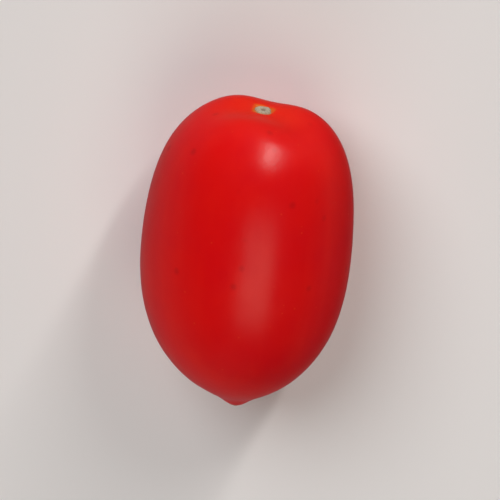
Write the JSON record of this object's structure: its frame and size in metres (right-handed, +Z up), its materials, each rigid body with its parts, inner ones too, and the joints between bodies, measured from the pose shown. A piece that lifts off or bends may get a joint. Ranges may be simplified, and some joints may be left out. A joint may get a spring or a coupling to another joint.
{
  "type": "cherry tomato",
  "caption": "Small plum-shaped ripe tomato, picked, lying on its side on a small flat spot, with a stem scar in a shallow dimple at one end and a small blunt tip at the other.",
  "frame": {"origin": "middle of the fruit's outline seen from above, in the plane of the flat spot that it rests on", "axes": "+Z up, away from what it rests on; +Y along the fruit, its longest extent, towards the stem end; +X to the right seen from above with the stem end at the top"},
  "size_m": [0.027, 0.0406, 0.0256],
  "materials": {
    "tomato_skin": "smooth waxy ripe red tomato skin, glossy"
  },
  "bodies": {
    "root": {"cherry_tomato": "tomato_skin"}
  },
  "joints": []
}
